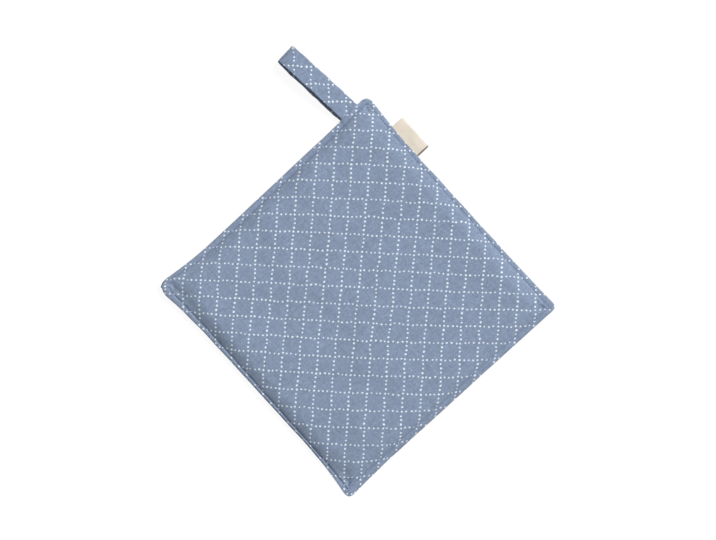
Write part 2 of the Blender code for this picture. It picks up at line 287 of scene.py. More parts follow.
# Weave. Scales are of the noise, per metre.
COTTON_PITCH = 0.40 * MM
TAPE_PITCH = 0.30 * MM
CRIMP = 0.45  # how far a thread rises over and sinks under the others, as a share
THREAD_BENDS = 1.2  # threads
THREAD_BENDS_SCALE = 90.0
FLECK_CROSSINGS = 3.0  # length of a darker or lighter stretch of thread
SLUB_ACROSS = 1 / (1.1 * MM)  # thick and thin places of the threads: how often they come across and along
SLUB_ALONG = 1 / (9.0 * MM)
COTTON_MOTTLE_SCALE = 55.0
TAPE_MOTTLE_SCALE = 160.0
FUZZ_SCALE = 2600.0
CUT_RAGGED_SCALE = 900.0
FUZZ_RAISES = 0.5  # compared with the threads
INK_RAISES = 0.25

# How each unevenness shades what it is on: a factor on a number from 0 to 1, and what is added. The
# hollow-shade factors are painted shade: they darken the colour where the weave or the twist lies low.
COTTON_MOTTLE = (0.16, 0.92)
COTTON_THREADS = (0.14, 0.93)
COTTON_SLUBS = (0.50, 0.75)
COTTON_FLECKS = (0.50, 0.75)
COTTON_HOLLOW_SHADE = (0.22, 0.86)
COTTON_ROUGHNESS = (-0.18, 0.90)  # by the printed dots
TAPE_MOTTLE = (0.12, 0.94)
TAPE_THREADS = (0.08, 0.96)
TAPE_HOLLOW_SHADE = (0.18, 0.88)
TWIST_HOLLOW_SHADE = (0.30, 0.80)

# Height of each surface's relief, and its strength
COTTON_RELIEF = (0.10 * MM, 0.55)
TAPE_RELIEF = (0.08 * MM, 0.50)
TWIST_RELIEF = (0.05 * MM, 0.60)

MIX_COLOURS = (6, 7)  # a mix node's inputs for colours
MIX_RESULT = 2  # and its output

# Colours, linear
CLOTH_BLUE = (0.232, 0.297, 0.420, 1.0)
DOT_WHITE = (0.80, 0.87, 0.95, 1.0)
THREAD_BLUE = (0.215, 0.275, 0.395, 1.0)
TAPE_CREAM = (0.775, 0.697, 0.592, 1.0)
TAPE_EDGE = (0.20, 0.16, 0.13, 1.0)

# Lights and table
KEY_STRENGTH = 0.985
KEY_WIDTH = math.radians(22)
KEY_TOWARDS = (0.69, -0.07, 0.71)
SKY_LOW = 0.08
SKY_OVERHEAD = 0.36
FLOOR_CLEAR = 0.15 * MM  # below the holder's back
FLOOR_BOUNCE = (0.35, 0.35, 0.35, 1.0)
FLOOR_SEEN = (0.08, 0.08, 0.08, 1.0)
FLOOR_GLOW = (0.93, 0.93, 0.93, 1.0)

# The photograph's frame and view
FRAME_PIXELS = (716, 540)
METRES_PER_PIXEL = 2 * HALF_SIDE / 279.1
PAD_MIDDLE_PIXEL = (358.77, 297.08)
TURN = math.radians(42.4)
LENS_DISTANCE = 1.25
SENSOR = 0.036
SEAM_HEIGHT = 4.0 * MM


def smooth_step(share):
    """0 to 1, level at both ends: 3 s squared less 2 s cubed."""
    share = np.clip(share, 0.0, 1.0)
    return share**2 * (3 - 2 * share)


def soft_least(first, second, round_by):
    """The lesser of two lengths, with the corner between them rounded: half of sum less root of squares."""
    return (first + second - np.sqrt((first - second) ** 2 + round_by**2)) / 2


def waves(place, uneven, which=0, count=11):
    """Unevenness along a line: sine waves of random length and phase. which: one of several of its kind."""
    random = np.random.default_rng(uneven.seed + which)
    lengths = uneven.shortest * (uneven.longest / uneven.shortest) ** random.random(count)
    phases = 2 * np.pi * random.random(count)
    total = sum(np.sin(2 * np.pi * place / length + phase) for length, phase in zip(lengths, phases))
    return uneven.size * total / math.sqrt(count / 2)


def swells(x, y, uneven, count=14):
    """Unevenness over an area: plane waves of random direction, length and phase."""
    random = np.random.default_rng(uneven.seed)
    total = np.zeros(np.broadcast(x, y).shape)
    for _ in range(count):
        length = uneven.shortest * (uneven.longest / uneven.shortest) ** random.random()
        angle, phase = np.pi * random.random(), 2 * np.pi * random.random()
        run = x * math.cos(angle) + y * math.sin(angle)
        total += np.sin(2 * np.pi * run / length + phase)
    return uneven.size * total / math.sqrt(count / 2)


def towards_ends(ends, along):
    """What a side's two corners add at each place along it: squares of the closeness to them."""
    first = np.maximum(0.0, 1 - (HALF_SIDE + along) / FLARE_REACH) ** 2
    last = np.maximum(0.0, 1 - (HALF_SIDE - along) / FLARE_REACH) ** 2
    return ends[0] * first + ends[1] * last


def seam_reach(side, along):
    """A side's distance from the middle."""
    return side.reach + side.slope * along + towards_ends(side.flares, along)


def over_insert(insert, along):
    """1 over what is sewn in, falling smoothly to 0 beside it."""
    beside = np.abs(along - insert.middle) - insert.half_width
    return smooth_step(1 - beside / insert.taper)


def insets(side, insert, along):
    """Distance of each station from the seam's outer line, one row for each station."""
    share, extra, sunk = EDGE.share[:, None], EDGE.extra[:, None], EDGE.sunk[:, None]
    pocket = insert.pocket * over_insert(insert, along) if insert else np.zeros_like(along)
    margin = side.margin + side.drift * along + towards_ends(side.gains, along)
    return np.concatenate([share * margin + extra + sunk * pocket, margin + SHOULDER[:, None]])


def all_lines(first, last):
    """Every line, from those near the two sides: between the shoulders the lines are even."""
    share = np.arange(1, MIDDLE_LINES + 1)[:, None] / (MIDDLE_LINES + 1)
    return np.concatenate([first, first[-1] + (last[-1] - first[-1]) * share, last[::-1]])


def lines_across(low, high, high_insert, across, wobbles):
    """Coordinate of every line of points, one row per line, at each place across.

    Near a side a line keeps its inset from that side's seam.
    """
    first = -(seam_reach(low, across) + waves(across, EDGE_WOBBLE, wobbles[0])) + insets(low, None, across)
    last = seam_reach(high, across) + waves(across, EDGE_WOBBLE, wobbles[1])
    return all_lines(first, last - insets(high, high_insert, across))


def nominal_lines(low, high):
    """The same coordinates on a square with straight seams and nothing sewn in."""
    nowhere = np.zeros(1)
    return all_lines(insets(low, None, nowhere) - HALF_SIDE, HALF_SIDE - insets(high, None, nowhere))[:, 0]


def turn_corners(x, y):
    """Moves the points near a corner inwards, so that squares round its centre become circles."""
    for (to_x, to_y), corner in CORNERS.items():
        seam_x = seam_reach(RIGHT if to_x > 0 else LEFT, y)
        seam_y = seam_reach(TOP if to_y > 0 else BOTTOM, x)
        out_x = np.maximum(to_x * x - (seam_x - corner.radius), 0.0)
        out_y = np.maximum(to_y * y - (seam_y - corner.radius), 0.0)
        away = np.maximum(np.hypot(out_x, out_y), 1e-9)
        shrink = np.where((out_x > 0) & (out_y > 0), np.maximum(out_x, out_y) / away, 1.0)
        x = x - to_x * out_x * (1 - shrink)
        y = y - to_y * out_y * (1 - shrink)
    return x, y


def past_stitches():
    """How far each line lies past the nearer side's stitches: 0 on the edge, most in the middle."""
    one_side = np.concatenate([np.zeros(EDGE_RINGS), SHOULDER])
    nearer_side = np.minimum(np.arange(1, MIDDLE_LINES + 1), np.arange(MIDDLE_LINES, 0, -1))
    return np.concatenate([one_side, SHOULDER[-1] + nearer_side * MIDDLE_SPACING, one_side[::-1]])


def between_ends(ends, along):
    """A side's value at each place along it: its first end's, turning smoothly into its last end's."""
    share = smooth_step(0.5 + along / (2 * HALF_SIDE))
    return ends[0] * (1 - share) + ends[1] * share


def of_nearest_side(label, x, y, share):
    """A value for each point: that of the nearest side, mixed with the next side's in a corner."""
    low = np.arange(LINES) < LINES // 2
    left, right = between_ends(getattr(LEFT, label), y), between_ends(getattr(RIGHT, label), y)
    bottom, top = between_ends(getattr(BOTTOM, label), x), between_ends(getattr(TOP, label), x)
    upright = np.where(low[None, :], left, right)
    level = np.where(low[:, None], bottom, top)
    return share * upright + (1 - share) * level


def shoulder_rise(past, wall, wider):
    """Height of the front above its stitches: a short steep wall, then a shoulder that ends as a power."""
    shoulder = 1 - np.maximum(0.0, 1 - past / (SHOULDER_REACH * wider)) ** SHOULDER_POWER
    return wall * (1 - np.exp(-past / WALL_WIDTH)) + SHOULDER_RISE * shoulder


def corner_filling(x, y):
    """At each point: how wide the shoulders are, how high the edge lies, how roundly shoulders meet."""
    wider = np.ones_like(x)
    upheld = np.ones_like(x)
    slack = np.full_like(x, CORNER_SLACK)
    for (to_x, to_y), corner in CORNERS.items():
        away = np.hypot(x - to_x * HALF_SIDE, y - to_y * HALF_SIDE)
        bell = np.exp(-((away / corner.fall) ** 2))
        wider += corner.thin * bell
        upheld -= corner.sag * bell
        slack += corner.slack * bell
    return wider, upheld, slack


def rings_outside():
    """Number of rings between each point and the nearest side."""
    count = np.arange(LINES)
    rings = np.minimum(count, LINES - 1 - count)
    return np.minimum(rings[None, :], rings[:, None])


def pucker(past, along, uneven, which):
    """Gathers beside the stitches: waves along the side, strongest a little way in and gone further on."""
    return past / PUCKER_PEAK * np.exp(1 - past / PUCKER_PEAK) * waves(along, uneven, which)


def gathers(x, y, uneven):
    """Puckers along the left, right, bottom and top side of one cloth."""
    past = past_stitches()
    low = np.arange(LINES) < LINES // 2
    places = (
        (low[None, :], past[None, :], y, 0),
        (~low[None, :], past[None, :], y, 1),
        (low[:, None], past[:, None], x, 10),
        (~low[:, None], past[:, None], x, 11),
    )
    return sum(here * pucker(inside, along, uneven, which) for here, inside, along, which in places)


def spread_by_inserts(x, y):
    """How far each cloth moves away over the loop's and the label's ends, in their part of the seam."""
    near_top = smooth_step((y - INSERTS_FROM) / INSERTS_BLEND)
    near_right = smooth_step((x - INSERTS_FROM) / INSERTS_BLEND)
    over_strap = STRAP_IN_TOP.parting * over_insert(STRAP_IN_TOP, x) * near_top
    return over_strap + LABEL_IN_RIGHT.parting * over_insert(LABEL_IN_RIGHT, y) * near_right


def made_uneven(front, back, x, y, past):
    """Both heights, with waves on the edge and the filling's swells and puckers inside the stitches."""
    ring = rings_outside()
    edge_waves = swells(x, y, EDGE_WAVES) * smooth_step((ring - EDGE_WAVES_FROM) / EDGE_WAVES_GROW)
    filling = (swells(x, y, FILLING_BROAD) + swells(x, y, FILLING_FINE)) * smooth_step(past / FILLING_STARTS)
    gathers_back = gathers(x, y, PUCKER_BACK) * smooth_step(back / PUCKERED_ABOVE)
    front = front + np.where(ring <= STITCHED, edge_waves, gathers(x, y, PUCKER_FRONT) + filling)
    back = back + np.where(ring <= STITCHED, edge_waves, gathers_back)
    return front, back


def corner_lift(x, y):
    """How far each corner stands off the table: its lift times a high power of x times y."""
    lift = np.zeros_like(x)
    for (to_x, to_y), corner in CORNERS.items():
        here = (np.sign(x) == to_x) & (np.sign(y) == to_y)
        closeness = np.minimum(1.0, np.abs(x * y) / HALF_SIDE**2)
        lift += np.where(here, corner.lift * closeness**LIFT_POWER, 0.0)
    return lift


def shape_square():
    """Points of the front and the back cloth, each as rows by columns by three.

    A point's height depends on its ring: the edge's own table as far as the stitches, then a shoulder by the
    distance past the stitches, then a low dome.
    """
    x = lines_across(LEFT, RIGHT, LABEL_IN_RIGHT, nominal_lines(BOTTOM, TOP), (0, 1)).T
    y = lines_across(BOTTOM, TOP, STRAP_IN_TOP, nominal_lines(LEFT, RIGHT), (2, 3))
    x, y = turn_corners(x, y)

    past_x, past_y = past_stitches()[None, :], past_stitches()[:, None]
    wider, upheld, slack = corner_filling(x, y)
    slack = slack * smooth_step(np.minimum(past_x, past_y) / SLACK_STARTS)
    past = np.maximum(soft_least(past_x, past_y, slack), 0.0)

    ring = rings_outside()
    on_edge = ring <= STITCHED
    edge = Rings(*(column[np.minimum(ring, STITCHED)] for column in EDGE))
    upright_share = smooth_step(0.5 + (past_y - past_x) / (2 * SIDES_BLEND))
    wall, width, dip, droop = [
        of_nearest_side(label, x, y, upright_share) for label in ("walls", "widths", "dips", "droops")
    ]
    dome = np.maximum(0.0, 1 - (x / HALF_SIDE) ** 2) * np.maximum(0.0, 1 - (y / HALF_SIDE) ** 2)
    rise = shoulder_rise(past, wall, wider * width) + CROWN_RISE * dome * smooth_step(past / SHOULDER_WIDTH)
    pressed_in = dip * np.where(on_edge, edge.pressed, np.exp(-((past / DIP_WIDTH) ** 2)))
    hanging = droop * (1 - edge.share)
    front = upheld * (edge.front - pressed_in - hanging) + np.where(on_edge, 0.0, rise)
    back = upheld * (edge.back - hanging) * np.exp(-past / BACK_SHOULDER)

    spread = spread_by_inserts(x, y) * edge.parted * smooth_step(1 - past / SWELL_FADES)
    front = front + spread
    back = back - spread

    front, back = made_uneven(front, back, x, y, past)
    lift = corner_lift(x, y)
    back = np.maximum(back + lift * smooth_step(back / LIFTED_ABOVE), 0.0)
    return np.stack([x, y, front + lift], axis=-1), np.stack([x, y, back], axis=-1)


def quads(index):
    """Four corners of every cell of a grid of point numbers, counterclockwise seen from above."""
    cells = (index[:-1, :-1], index[:-1, 1:], index[1:, 1:], index[1:, :-1])
    return np.stack(cells, axis=-1).reshape(-1, 4)


def sewn_faces(size):
    """Faces of two square grids that share their rim, and each corner's number on the two grids in turn."""
    own = np.arange(size * size).reshape(size, size)
    back = own.copy()
    back[1:-1, 1:-1] = size * size + np.arange((size - 2) ** 2).reshape(size - 2, size - 2)
    faces = np.concatenate([quads(own), quads(back)[:, ::-1]])
    corners = np.concatenate([quads(own), quads(own)[:, ::-1] + size * size])
    return faces, corners


def sewn_points(front, back):
    """Points of both cloths, with the rim taken from the front."""
    return np.concatenate([front.reshape(-1, 3), back[1:-1, 1:-1].reshape(-1, 3)])


def new_piece(name, points, faces, maps=None):
    """A mesh object from arrays of points and four-cornered faces, with UV maps given per corner."""
    mesh = bpy.data.meshes.new(name)
    mesh.vertices.add(len(points))
    mesh.vertices.foreach_set("co", np.asarray(points, np.float32).ravel())
    mesh.loops.add(faces.size)
    mesh.loops.foreach_set("vertex_index", faces.ravel().astype(np.int32))
    mesh.polygons.add(len(faces))
    mesh.polygons.foreach_set("loop_start", np.arange(0, faces.size, 4, dtype=np.int32))
    mesh.polygons.foreach_set("loop_total", np.full(len(faces), 4, np.int32))
    for label, values in (maps or {}).items():
        layer = mesh.uv_layers.new(name=label)
        layer.uv.foreach_set("vector", np.asarray(values, np.float32).ravel())
    mesh.update(calc_edges=True)
    mesh.validate()
    mesh.shade_smooth()
    piece = bpy.data.objects.new(name, mesh)
    bpy.context.scene.collection.objects.link(piece)
    return piece


def blur_matrix(count, width):
    """Rows of normalised bell weights, which smooth a line of values by a width in lines."""
    place = np.arange(count)
    bell = np.exp(-(((place[:, None] - place[None, :]) / width) ** 2))
    return bell / bell.sum(axis=1, keepdims=True)


def finer_matrix(coarse):
    """Rows of weights that carry values from every second line to every line, as a Catmull-Rom curve does."""
    fine = 2 * coarse - 1
    weights = np.zeros((fine, coarse))
    weights[np.arange(0, fine, 2), np.arange(coarse)] = 1.0
    for gap in range(coarse - 1):
        for shift, weight in ((-1, -1 / 16), (0, 9 / 16), (1, 9 / 16), (2, -1 / 16)):
            weights[2 * gap + 1, min(max(gap + shift, 0), coarse - 1)] += weight
    return weights


def settled_points(points, faces, held):
    """Where a closed cloth filled from inside comes to rest, with some of its points held."""
    cloth = new_piece("slack_cloth", points, faces)
    group = cloth.vertex_groups.new(name="held")
    group.add(np.flatnonzero(held).tolist(), 1.0, "REPLACE")
    modifier = cloth.modifiers.new("slack", "CLOTH")
    for label, value in SIMULATED_CLOTH.items():
        setattr(modifier.settings, label, value)
    modifier.settings.effector_weights.gravity = 0.0
    modifier.collision_settings.use_collision = False
    modifier.collision_settings.use_self_collision = False
    scene = bpy.context.scene
    for number in range(1, SIMULATED_FRAMES + 1):
        scene.frame_set(number)
    shown = cloth.evaluated_get(bpy.context.evaluated_depsgraph_get())
    end = np.zeros(len(points) * 3)
    shown.to_mesh().vertices.foreach_get("co", end)
    shown.to_mesh_clear()
    scene.frame_set(1)
    bpy.data.objects.remove(cloth)
    return end.reshape(-1, 3)


def simulate_slack(front, back):
    """Creases of slack cloth: both faces as Cloth, held at the edge and the stitches, filled from inside.

    Only the creases are kept: a point's move less the average move round it, softly capped, and none at the
    stitches.
    """
    coarse_front, coarse_back = front[::2, ::2], back[::2, ::2]
    size = coarse_front.shape[0]
    held_front = rings_outside()[::2, ::2] <= STITCHED
    held_back = held_front | (coarse_back[..., 2] < HELD_BELOW)
    held = np.concatenate([held_front.ravel(), held_back[1:-1, 1:-1].ravel()])
    start = sewn_points(coarse_front, coarse_back)
    move = settled_points(start, sewn_faces(size)[0], held) - start

    move_front = move[: size * size].reshape(size, size, 3)
    move_back = move_front.copy()
    move_back[1:-1, 1:-1] = move[size * size :].reshape(size - 2, size - 2, 3)
    blur, finer = blur_matrix(size, SIMULATED_BLUR), finer_matrix(size)
    past_line = past_stitches()
    fade = smooth_step(np.minimum(past_line[None, :], past_line[:, None]) / SIMULATED_FADES)
    kept = []
    for face_move, holds in ((move_front, held_front), (move_back, held_back)):
        crease = np.empty((LINES, LINES, 3))
        for axis in range(3):
            broad = blur @ face_move[..., axis] @ blur.T
            detail = np.where(holds, 0.0, face_move[..., axis] - broad)
            crease[..., axis] = finer @ detail @ finer.T
        kept.append(fade[..., None] * SIMULATED_MOST * np.tanh(SIMULATED_SHARE * crease / SIMULATED_MOST))
    front, back = front + kept[0], back + kept[1]
    back[..., 2] = np.maximum(back[..., 2], 0.0)
    return front, back


def cloth_run(points):
    """Length of cloth from the middle line to each point, along its row and along its column."""
    middle = points.shape[0] // 2
    steps_x = np.linalg.norm(np.diff(points, axis=1), axis=-1)
    steps_y = np.linalg.norm(np.diff(points, axis=0), axis=-1)
    run_x = np.pad(np.cumsum(steps_x, axis=1), ((0, 0), (1, 0)))
    run_y = np.pad(np.cumsum(steps_y, axis=0), ((1, 0), (0, 0)))
    run_x = run_x - run_x[:, middle : middle + 1] + points[:, middle : middle + 1, 0]
    run_y = run_y - run_y[middle : middle + 1, :] + points[middle : middle + 1, :, 1]
    return np.stack([run_x, run_y], axis=-1)


def front_print(cloth):
    """Line numbers of the two sets of dotted lines at a place on the front cloth."""
    x, y = cloth[..., :1] / HALF_SIDE, cloth[..., 1:] / HALF_SIDE
    return sum(x**power_x * y**power_y * np.array(adds) for power_x, power_y, *adds in FRONT_PRINT)


def plain_print(cloth, turned, start):
    """Line numbers on cloth cut elsewhere from the same bolt: two straight sets at right angles, turned."""
    angle = math.radians(45) + turned
    along = (cloth - np.array(start)) / LINE_PITCH
    bold = -along[..., 0] * math.sin(angle) + along[..., 1] * math.cos(angle)
    fine = along[..., 0] * math.cos(angle) + along[..., 1] * math.sin(angle)
    return np.stack([bold, fine], axis=-1)


def make_square():
    """The padded square, both cloths as one closed piece, and the points of each for the stitches."""
    front, back = shape_square()
    cloth_front, cloth_back = cloth_run(front), cloth_run(back)
    front, back = simulate_slack(front, back)
    faces, corners = sewn_faces(LINES)
    mirrored = cloth_back * np.array([-1.0, 1.0])
    printed = np.concatenate([
        front_print(cloth_front).reshape(-1, 2),
        plain_print(mirrored, BACK_PRINT_TURN, BACK_PRINT_AT).reshape(-1, 2),
    ])
    placed = np.concatenate([cloth_front.reshape(-1, 2), mirrored.reshape(-1, 2) + BACK_APART])
    maps = {"cloth": placed[corners.ravel()], "print": printed[corners.ravel()]}
    square = new_piece("pad_cover", sewn_points(front, back), faces, maps)
    return square, front, back


def smooth_path(bends, step):
    """Rows of (out, height, drift) about a step apart, on a Catmull-Rom curve through the bends."""
    knots = np.concatenate([bends[:1], bends, bends[-1:]])
    rows = []
    for first in range(len(bends) - 1):
        before, start, end, after = knots[first : first + 4]
        pieces = max(2, round(float(np.linalg.norm((end - start)[:2])) / step))
        t = (np.arange(pieces) / pieces)[:, None]
        rows.append(
            start
            + 0.5 * t * (end - before)
            + t**2 * (before - 2.5 * start + 2 * end - 0.5 * after)
            + t**3 * (1.5 * (start - end) + 0.5 * (after - before))
        )
    return np.concatenate([*rows, knots[-1:]])


def folded_path(bends, step):
    """A smooth path's places, its length up to each, and its unit direction: forward and rise."""
    out, height, drift = smooth_path(bends, step).T
    run = np.concatenate([[0.0], np.cumsum(np.hypot(np.diff(out), np.diff(height)))])
    forward, rise = np.gradient(out), np.gradient(height)
    size = np.hypot(forward, rise)
    return out, height, drift, run, forward / size, rise / size


def arc(centre, radius, start, end, count):
    """Points of an arc in degrees."""
    angle = np.radians(np.linspace(start, end, count))
    return np.stack([centre[0] + radius * np.cos(angle), centre[1] + radius * np.sin(angle)], axis=-1)


def strap_section():
    """Outline of the pressed strap across its width: two folded edges that meet on the left, a fold on the
    right. Columns: across, through. It runs clockwise seen along the strap, from the slit between the folds.
    """
    half, thick = STRAP_WIDTH / 2, STRAP_THICKNESS / 2
    fold = thick / 2
    slit = np.array([[-half + STRAP_SLIT, 0.0]])
    upper = arc((-half + fold, fold), fold, 260, 90, 7)
    top = np.stack([np.linspace(-half + 2 * fold, half - 1.2 * thick, 22), np.full(22, thick)], axis=-1)
    right = arc((half - thick, 0.0), thick, 80, -80, 9)
    lower = arc((-half + fold, -fold), fold, 270, 100, 7)
    return np.concatenate([slit, upper, top, right, top[::-1] * [1, -1], lower])


def carried(section, centre, sideways, outward):
    """A section carried along a path: centre plus across times sideways plus through times outward."""
    across, through = section[..., 0:1], section[..., 1:2]
    return centre[:, None, :] + across * sideways + through * outward


def tube_faces(rings, around):
    """Faces of a closed band of rings, and of a strip of quads across its two open ends."""
    index = np.arange(rings * around).reshape(rings, around)
    sides = quads(np.concatenate([index, index[:, :1]], axis=1))
    half = around // 2
    caps = []
    for ring, turn in ((index[0], 1), (index[-1], -1)):
        near = ring[: half + 1]
        far = np.concatenate([ring[:1], ring[: half - 1 : -1]])[: half + 1]
        caps.append(np.stack([near[:-1], far[:-1], far[1:], near[1:]], axis=-1)[:, ::turn])
    return sides, np.concatenate(caps)


def ruffled_strap(section, run):
    """Strap's section at each place along it: slightly quilted by its pressing, wavy at its edges."""
    across = np.broadcast_to(section[:, 0], (len(run), len(section)))
    through = np.broadcast_to(section[:, 1], (len(run), len(section)))
    run = run[:, None]
    fullness = 1 - (across / (STRAP_WIDTH / 2)) ** 2
    quilting = swells(across, run, STRAP_QUILTING) * (STRAP_QUILTED_EDGES + fullness)
    puff = 1 + STRAP_PUFF * fullness + quilting
    across = across * (1 + waves(run, STRAP_NARROWS)) + waves(run, STRAP_SWAYS)
    return np.stack([across, through * puff], axis=-1)


def strap_map(section, run, sides, caps):
    """Cloth coordinates of the strap: round its section and along its run, and straight on at its ends."""
    rings, around = section.shape[:2]
    girth = girth_of(section)
    wraps = np.zeros(sides.shape)
    wraps[around - 1 :: around] = sides[around - 1 :: around] % around == 0
    across = girth[:, :-1].ravel()[sides] + wraps * girth[:, -1][sides // around]
    along = np.repeat(run, around)[sides]
    side_map = np.stack([across.ravel(), along.ravel()], axis=-1)
    return np.concatenate([side_map, section.reshape(-1, 2)[caps.ravel()]])


def make_strap():
    """The hanging loop: the strap's section carried from one sewn end, round the fold, to the other.

    The path lies in an upright plane that leans to the left, and each place may drift across it.
    """
    out, height, drift, run, forward, rise = folded_path(LOOP, STRAP_STEP)
    lean_out = np.array([-math.sin(STRAP_LEAN), math.cos(STRAP_LEAN), 0.0])
    lean_side = np.array([math.cos(STRAP_LEAN), math.sin(STRAP_LEAN), 0.0])
    seam_y = float(seam_reach(TOP, STRAP_AT_X))
    root = np.array([STRAP_AT_X, seam_y + STRAP_START, 0.0])
    tuck = (STRAP_START + STRAP_TUCK) * np.maximum(0.0, 1 - out / STRAP_TUCK_FADES)
    section = ruffled_strap(strap_section(), run)
    outward = rise[:, None] * lean_out - forward[:, None] * UP
    centre = root + (out - tuck)[:, None] * lean_out + height[:, None] * UP - drift[:, None] * lean_side
    points = carried(section, centre, lean_side, outward[:, None, :])
    roll = STRAP_ROLL * smooth_step(out / STRAP_ROLL_STARTS) * smooth_step(1 - drift / drift.max())
    points[..., 2] -= roll[:, None] * section[..., 0]

    sideways = section[..., 0] - drift[:, None]
    slant = seam_reach(TOP, STRAP_AT_X + sideways) - seam_y - sideways * math.sin(STRAP_LEAN)
    points += (slant * np.maximum(0.0, 1 - out[:, None] / STRAP_STRAIGHTENS))[..., None] * lean_out

    sides, caps = tube_faces(*section.shape[:2])
    cloth = strap_map(section, run, sides, caps)
    upper = slice(8, 30)  # points of the section's upper layer
    middle = float(np.interp(0.0, section[-1, upper, 0], girth_of(section)[-1, upper]))
    crossing = (STRAP_PRINT_AT[0] + middle, STRAP_PRINT_AT[1] + run[-1])
    maps = {"cloth": cloth, "print": plain_print(cloth, STRAP_PRINT_TURN, crossing)}
    strap = new_piece("loop_strap", points.reshape(-1, 3), np.concatenate([sides, caps]), maps)
    return strap, float(run[-1])


def girth_of(section):
    """Length of cloth round each section, from the slit to each of its points and back to the slit."""
    closed = np.concatenate([section, section[:, :1]], axis=1)
    steps = np.linalg.norm(np.diff(closed, axis=1), axis=-1)
    return np.pad(np.cumsum(steps, axis=1), ((0, 0), (1, 0)))


def label_section():
    """Outline of one leaf of tape across its width: flat, with thin round edges."""
    half, thick = LABEL_WIDTH / 2, LABEL_THICKNESS / 2
    left = arc((-half + thick, 0.0), thick, 180, 90, 4)
    top = np.stack([np.linspace(-half + 2 * thick, half - 2 * thick, 40), np.full(40, thick)], axis=-1)
    right = arc((half - thick, 0.0), thick, 90, -90, 7)
    bottom = top[::-1] * [1, -1]
    rest = arc((-half + thick, 0.0), thick, -90, -150, 3)
    return np.concatenate([left, top, right, bottom, rest])


def make_label():
    """The side label: a tape's section carried from the seam to the fold and back, its under leaf lower."""
    out, height, drift, run, forward, rise = folded_path(LABEL, LABEL_STEP)
    section = np.broadcast_to(label_section(), (len(run), *label_section().shape))
    start = seam_reach(RIGHT, LABEL_AT_Y) + LABEL_START
    room = (LABEL_OUT - LABEL_THICKNESS / 2 - start) / out.max()
    tuck = (LABEL_START + LABEL_TUCK) * np.maximum(0.0, 1 - out / LABEL_TUCK_FADES)
    ahead, sideways = np.array([1.0, 0.0, 0.0]), np.array([0.0, -1.0, 0.0])
    centre = np.array([start, LABEL_AT_Y, 0.0]) + (out * room - tuck)[:, None] * ahead
    centre = centre + height[:, None] * UP + drift[:, None] * sideways
    points = carried(section, centre, sideways, (rise[:, None] * ahead - forward[:, None] * UP)[:, None, :])
    along = section[..., 0]
    free = smooth_step(out / LABEL_FREE)[:, None]
    points[..., 2] += free * swells(along, out[:, None], LABEL_WAVES)
    points[..., 0] += free * waves(along, LABEL_END_WAVES)
    to_corner = np.clip(along / (LABEL_WIDTH / 2), 0, 1) ** LABEL_CORNER_POWER
    points[..., 2] += free * LABEL_CORNER_LIFT * to_corner

    faces = np.concatenate(tube_faces(*section.shape[:2]))
    girth = girth_of(section)[:, :-1]
    cloth = np.stack([girth, np.repeat(run[:, None], girth.shape[1], axis=1)], axis=-1).reshape(-1, 2)
    label = new_piece("tape_label", points.reshape(-1, 3), faces, {"cloth": cloth[faces.ravel()]})
    return label, float(run[-1])


def stitch_shape():
    """One stitch: a short round thread along x that dips at both ends. Points and faces."""
    around, along = 7, 9
    place = np.linspace(-1, 1, along)[:, None]
    fullness = np.sqrt(np.maximum(1 - np.abs(place) ** 4, 0.0))
    radius = STITCH_RADIUS * (fullness * (1 - STITCH_END) + STITCH_END)
    angle = np.arange(around) * 2 * np.pi / around
    x = np.repeat(place * STITCH_LENGTH / 2, around, axis=1)
    z = radius * np.sin(angle) - STITCH_DIP * np.abs(place) ** 3
    points = np.stack([x, radius * np.cos(angle), z], axis=-1)
    index = np.arange(along * around).reshape(along, around)
    faces = quads(np.concatenate([index, index[:, :1]], axis=1))[:, ::-1]
    return points.reshape(-1, 3), faces


def stitch_line(points):
    """The closed line that the stitches follow on one face of the square: the stitched ring, once round."""
    low, high = STITCHED, LINES - 1 - STITCHED
    return np.concatenate([
        points[low, low:high],
        points[low:high, high],
        points[high, high:low:-1],
        points[high:low:-1, low],
    ])


def make_stitches(name, points, facing):
    """Topstitching: copies of one stitch along the line, each turned to its direction and slightly uneven."""
    line = stitch_line(points)
    closed = np.concatenate([line, line[:1]])
    run = np.concatenate([[0.0], np.cumsum(np.linalg.norm(np.diff(closed, axis=0), axis=1))])
    count = int(run[-1] / STITCH_PITCH)
    random = np.random.default_rng(71 if facing > 0 else 72)
    places = (np.arange(count) + 0.5) * run[-1] / count
    places = places + STITCH_SLIP * STITCH_PITCH * random.standard_normal(count)
    before, middle, after = [
        np.stack([np.interp(places + shift, run, axis) for axis in closed.T], axis=-1)
        for shift in (-1 * MM, 0.0, 1 * MM)
    ]
    ahead = after - before
    ahead = ahead / np.linalg.norm(ahead, axis=1, keepdims=True)
    side = np.cross(facing * UP, ahead)
    side = side / np.linalg.norm(side, axis=1, keepdims=True)
    up = np.cross(ahead, side)
    middle = middle + up * STITCH_LIES + side * (STITCH_STRAYS * random.standard_normal(count))[:, None]
    shape, shape_faces = stitch_shape()
    axes = np.stack([ahead, side, up], axis=1)
    turned = middle[:, None, :] + shape @ axes
    faces = (shape_faces[None] + (np.arange(count) * len(shape))[:, None, None]).reshape(-1, 4)
    twist = np.stack([
        np.tile(shape[:, 0], count) + np.repeat(places, len(shape)),
        np.tile(np.arctan2(shape[:, 2], shape[:, 1]), count) * STITCH_RADIUS,
    ], axis=-1)
    return new_piece(name, turned.reshape(-1, 3), faces, {"cloth": twist[faces.ravel()]})


def put(tree, kind, **settings):
    """A new node with its settings."""
    node = tree.nodes.new(kind)
    for name, value in settings.items():
        setattr(node, name, value)
    return node


